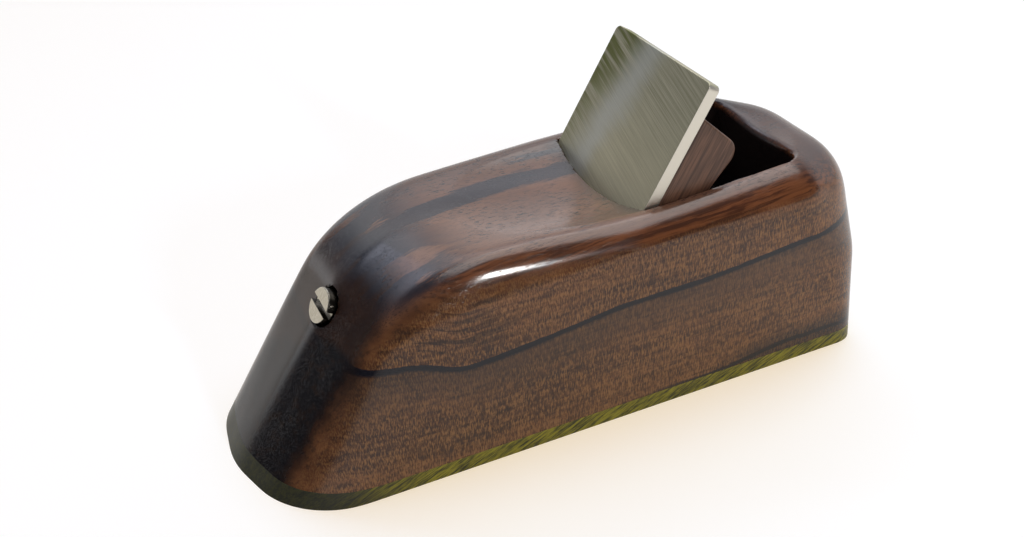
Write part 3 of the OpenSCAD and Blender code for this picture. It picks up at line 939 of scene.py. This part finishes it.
def turned_metal(name, low, high, rough, side=None):
    """Turned metal; with a side colour, painted shade on all faces but those square to the screw's
    axis.
    """
    material, n, bsdf, at = new_material(name)
    grain = n.noise(n.scaled(at, (0.6, 4.0, 0.6)), 1.0, 3, 0.6)
    base = n.mix(grain, low, high)
    if side:
        facing = n.dot(n.add("TexCoord").outputs["Normal"], tuple(SCREW_AXIS))
        # Painted shade: the side colour darkens every face not square to the screw's axis
        base = n.over(base, side, n.step(facing, -0.8, -0.5))
    bsdf.inputs["Metallic"].default_value = 1.0
    finish(n, bsdf, base, n.ramp(grain, 0.12, rough), grain, 0.1, 0.00002)
    return material


# Camera, light and floor

def add_camera():
    """The photograph's view, fitted to the outline."""
    data = bpy.data.cameras.new("view")
    data.sensor_fit = "HORIZONTAL"
    data.sensor_width = 36
    data.lens = 49.84
    data.clip_start, data.clip_end = 0.01, 20
    cam = bpy.data.objects.new("view", data)
    right, up, back = (0.8820, -0.4712, 0), (0.2508, 0.4695, 0.8466), (-0.3989, -0.7467, 0.5323)
    turn = Matrix((right, up, back)).transposed().to_4x4()
    cam.matrix_world = Matrix.Translation((-0.1388, -0.24475, 0.20465)) @ turn
    bpy.context.scene.collection.objects.link(cam)
    bpy.context.scene.camera = cam


def add_area(name, place, size, power):
    """A lamp that faces the object."""
    data = bpy.data.lights.new(name, "AREA")
    data.shape = "RECTANGLE"
    data.size, data.size_y = size
    data.energy = power
    lamp = bpy.data.objects.new(name, data)
    lamp.location = place
    aim = Vector((0, 0, 0.03)) - Vector(place)
    lamp.rotation_mode = "QUATERNION"
    lamp.rotation_quaternion = aim.to_track_quat("-Z", "Y")
    bpy.context.scene.collection.objects.link(lamp)


def add_world():
    """White to the camera; to the object, a pale sweep behind it, a window above and a dim room."""
    world = bpy.data.worlds.new("studio")
    bpy.context.scene.world = world
    world.use_nodes = True
    n = Nodes(world.node_tree)
    way = n.add("TexCoord").outputs["Generated"]
    east, north, height = n.parts(way)
    turn = n.math("ARCTAN2", north, east)
    # The sweep, darker towards the heel and on the nose's left
    sweep = n.product(n.step(n.dot(way, (0.47, 0.88, 0.0)), 0.18, 0.42), n.step(height, 0.64, 0.5))
    left = n.product(n.step(turn, 1.7, 1.88), n.step(height, 0.06, 0.15))
    tone = n.mix(n.step(turn, 0.75, 1.05), (0.7, 0.71, 0.74, 1), (1.25, 1.25, 1.28, 1))
    tone = n.mix(left, tone, (0.2, 0.21, 0.24, 1))
    room = n.mix(sweep, (0.07, 0.07, 0.08, 1), tone)
    # The window, cut off aslant on its left and brightest near that side
    slant = n.ramp(turn, 0.455, height)
    window = n.product(n.step(turn, 0.0, 0.3), n.step(slant, 1.665, 1.61),
                       n.step(height, 0.54, 0.66), n.step(height, 0.94, 0.87))
    pane = n.mix(n.step(turn, 0.72, 0.95), (0.8, 0.82, 0.9, 1), (2.0, 2.05, 2.2, 1))
    pane = n.mix(n.step(turn, 1.7, 1.92), pane, (3.3, 3.4, 4.0, 1))
    pane = n.mix(n.step(turn, 2.05, 2.2), pane, (2.3, 2.4, 2.8, 1))
    room = n.mix(window, room, pane)
    lit = n.add("Background", {"Color": room, "Strength": 1.0})
    white = n.add("Background", {"Color": (1, 1, 1, 1), "Strength": 1.0})
    seen = n.add("LightPath").outputs["Is Camera Ray"]
    out = n.add("OutputWorld")
    n.put(out.inputs[0], n.add("MixShader", {0: seen, 1: lit, 2: white}))


def add_floor():
    """A pale floor; what the camera sees of it is near white, with a warm soft shadow."""
    mesh = bpy.data.meshes.new("floor")
    half = 4.0
    mesh.from_pydata([(-half, -half, 0), (half, -half, 0), (half, half, 0), (-half, half, 0)], [],
                     [(0, 1, 2, 3)])
    material = bpy.data.materials.new("pale_floor")
    material.use_nodes = True
    n = Nodes(material.node_tree)
    plain = n.add("BsdfDiffuse", {"Color": (0.62, 0.57, 0.5, 1)})
    shown = n.add("BsdfDiffuse", {"Color": (0.31, 0.51, 0.76, 1)})
    glow = n.add("Emission", {"Color": (0.712, 0.511, 0.258, 1), "Strength": 1.0})
    both = n.add("AddShader", {0: shown, 1: glow})
    path = n.add("LightPath").outputs
    seen = n.math("MAXIMUM", path["Is Camera Ray"], n.product(path["Is Glossy Ray"], 0.5))
    out = n.add("OutputMaterial")
    n.put(out.inputs[0], n.add("MixShader", {0: seen, 1: plain, 2: both}))
    mesh.materials.append(material)
    floor = bpy.data.objects.new("floor", mesh)
    bpy.context.scene.collection.objects.link(floor)


def main():
    add_camera()
    add_world()
    add_floor()
    add_area("softbox_top", (0.25, 0.05, 1.0), (0.8, 0.9), 7.4)
    add_area("lamp_front", (0.137, -0.688, 0.379), (0.03, 0.1), 1.15)
    wood = stock_wood()
    green = plain_wood("green_wood", colour(40, 43, 10), colour(172, 162, 44), (0.14, 1.2, 1.6),
                       3.0, math.radians(25), nose=colour(30, 34, 22))
    build_stock(wood, green)
    build_iron(iron_steel())
    build_wedge(plain_wood("wedge_wood", colour(78, 53, 41), colour(128, 92, 72),
                           (0.05, 1.1, 0.9), 2.5, PITCH))
    # Dark side colour: painted shade on the screw head's sides and slot walls
    build_screw(turned_metal("screw_steel", colour(184, 177, 160), colour(226, 221, 204), 0.2,
                             side=colour(70, 66, 60)))
    build_turned(turned_metal("brass", colour(190, 150, 80), colour(222, 184, 108), 0.25),
                 plain_wood("pin_wood", colour(70, 40, 26), colour(120, 74, 46),
                            (1.4, 0.15, 1.4), 3.0))
    bpy.context.scene.view_settings.view_transform = "Standard"


main()
